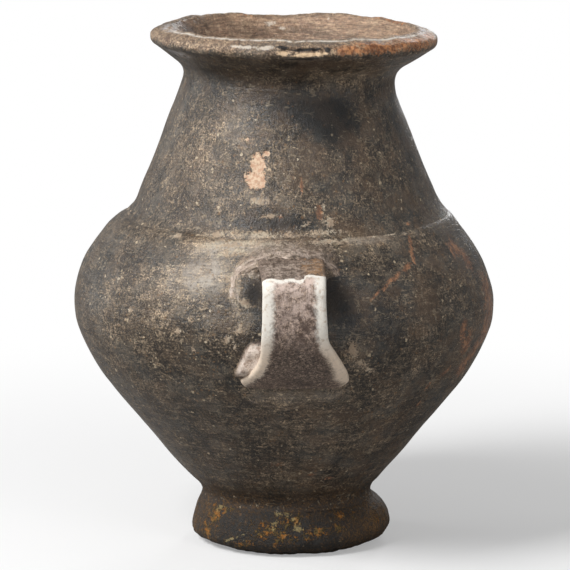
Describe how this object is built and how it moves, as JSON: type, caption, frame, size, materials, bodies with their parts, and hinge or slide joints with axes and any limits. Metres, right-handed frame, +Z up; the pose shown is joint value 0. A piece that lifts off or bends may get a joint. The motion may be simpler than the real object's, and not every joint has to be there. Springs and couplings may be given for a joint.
{
  "type": "biconical urn",
  "caption": "Hand-built biconical pottery urn with a conical neck, everted lip, hollow ring foot and a vertical strap handle tenoned into its belly.",
  "frame": {"origin": "on the standing plane, under the middle of the urn's box with its handle; the pot's own axis stands at y = 14.5 mm", "axes": "+Z up the pot's axis, the handle faces -Y, +X to the right seen from the handle's side"},
  "size_m": [0.2443, 0.2697, 0.3014],
  "materials": {
    "foot_clay": "worn dark clay with ochre deposits",
    "body_clay": "dark brown burnished clay, speckled",
    "lip_clay": "worn brown clay, granular on the edge",
    "handle_clay": "worn clay, pale cream edges",
    "collar_clay": "smeared brown clay with pale deposits"
  },
  "bodies": {
    "root": {"foot_ring": "foot_clay", "floor_disc": "foot_clay", "lower_wall": "body_clay", "belly_wall": "body_clay", "neck_wall": "body_clay", "rim_lip": "lip_clay", "handle_strap": "handle_clay", "upper_root_collar": "collar_clay", "lower_root_collar": "collar_clay"}
  },
  "joints": []
}
